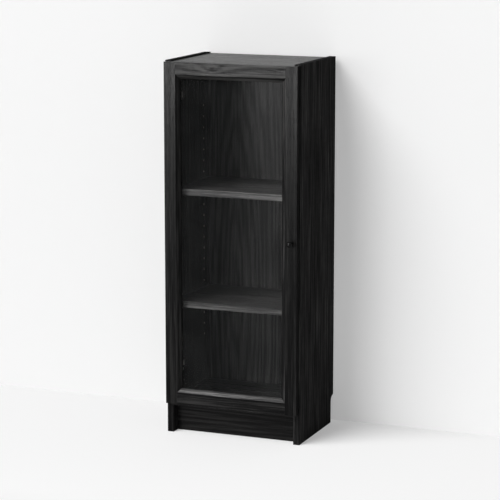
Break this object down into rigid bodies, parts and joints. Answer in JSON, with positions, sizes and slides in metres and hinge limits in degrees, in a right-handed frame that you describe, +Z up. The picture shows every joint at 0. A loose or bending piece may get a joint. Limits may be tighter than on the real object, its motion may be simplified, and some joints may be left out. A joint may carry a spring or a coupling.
{
  "type": "tower display case",
  "caption": "Tall narrow wooden display cabinet on a recessed plinth, with adjustable shelves behind a framed glass door hung on concealed linkage hinges.",
  "frame": {"origin": "on the floor at the centre of the bounding box's footprint, knob included", "axes": "+Z up, the door faces -Y, +X to the right seen from the front"},
  "size_m": [0.4, 0.32, 1.06],
  "materials": {
    "black_veneer": "open-grain veneer, stained black, satin lacquer",
    "back_board": "thin board, black wood-grain foil, satin",
    "glass": "clear float glass",
    "beech": "bare beech",
    "zinc": "die-cast zinc, dull",
    "nickel": "nickel plated, satin",
    "knob_metal": "black lacquer, semi-gloss",
    "rubber": "soft translucent pad"
  },
  "bodies": {
    "carcass": {"side_panel_left": "black_veneer", "side_panel_right": "black_veneer", "top_panel": "black_veneer", "bottom_panel": "black_veneer", "plinth": "black_veneer", "back_panel": "back_board", "shelf_pins_upper": "nickel", "shelf_pins_lower": "nickel", "cam_locks": "zinc", "cam_bolts": "zinc", "carcass_dowels": "beech", "back_nails": "nickel", "bumper_pads": "rubber", "upper_arm": "nickel", "upper_arm_pins": "nickel", "upper_mounting_plate": "nickel", "upper_plate_screws": "nickel", "upper_arm_screw": "nickel", "lower_arm": "nickel", "lower_arm_pins": "nickel", "lower_mounting_plate": "nickel", "lower_plate_screws": "nickel", "lower_arm_screw": "nickel"},
    "door": {"door_stile_left": "black_veneer", "door_stile_right": "black_veneer", "door_rail_top": "black_veneer", "door_rail_bottom": "black_veneer", "door_dowels": "beech", "glass_pane": "glass", "bead_left": "black_veneer", "bead_right": "black_veneer", "bead_top": "black_veneer", "bead_bottom": "black_veneer", "knob": "knob_metal", "knob_screw": "nickel", "upper_cup": "nickel", "upper_cup_screws": "nickel", "upper_cup_pins": "nickel", "lower_cup": "nickel", "lower_cup_screws": "nickel", "lower_cup_pins": "nickel"},
    "shelf_upper": {"shelf_upper": "black_veneer"},
    "shelf_lower": {"shelf_lower": "black_veneer"},
    "upper_outer_link": {"upper_outer_link": "nickel"},
    "upper_inner_link": {"upper_inner_link": "nickel"},
    "lower_outer_link": {"lower_outer_link": "nickel"},
    "lower_inner_link": {"lower_inner_link": "nickel"}
  },
  "joints": [
    {"name": "upper_outer_link_turn", "type": "hinge", "parent": "carcass", "child": "upper_outer_link", "pos_m": [-0.16392, -0.09736, 0.959], "axis": [0, 0, 1], "range_deg": [0, 28]},
    {"name": "door_swing", "type": "hinge", "parent": "upper_outer_link", "child": "door", "pos_m": [-0.18724, -0.12291, 0.959], "axis": [0, 0, -1], "range_deg": [0, 122.5]},
    {"name": "upper_inner_link_turn", "type": "hinge", "parent": "carcass", "child": "upper_inner_link", "pos_m": [-0.15524, -0.11595, 0.959], "axis": [0, 0, 1], "range_deg": [0, 32]},
    {"name": "lower_outer_link_turn", "type": "hinge", "parent": "carcass", "child": "lower_outer_link", "pos_m": [-0.16392, -0.09736, 0.191], "axis": [0, 0, 1], "range_deg": [0, 28]},
    {"name": "lower_inner_link_turn", "type": "hinge", "parent": "carcass", "child": "lower_inner_link", "pos_m": [-0.15524, -0.11595, 0.191], "axis": [0, 0, 1], "range_deg": [0, 32]},
    {"name": "shelf_upper_lift", "type": "slide", "parent": "carcass", "child": "shelf_upper", "axis": [0, 0, 1], "range_m": [0, 0.032]},
    {"name": "shelf_lower_lift", "type": "slide", "parent": "carcass", "child": "shelf_lower", "axis": [0, 0, 1], "range_m": [0, 0.032]}
  ],
  "couplings": [
    {"joint": "upper_outer_link_turn", "follows": "door_swing", "ratio": 0.22481},
    {"joint": "upper_inner_link_turn", "follows": "door_swing", "ratio": 0.25969},
    {"joint": "lower_outer_link_turn", "follows": "door_swing", "ratio": 0.22481},
    {"joint": "lower_inner_link_turn", "follows": "door_swing", "ratio": 0.25969}
  ]
}
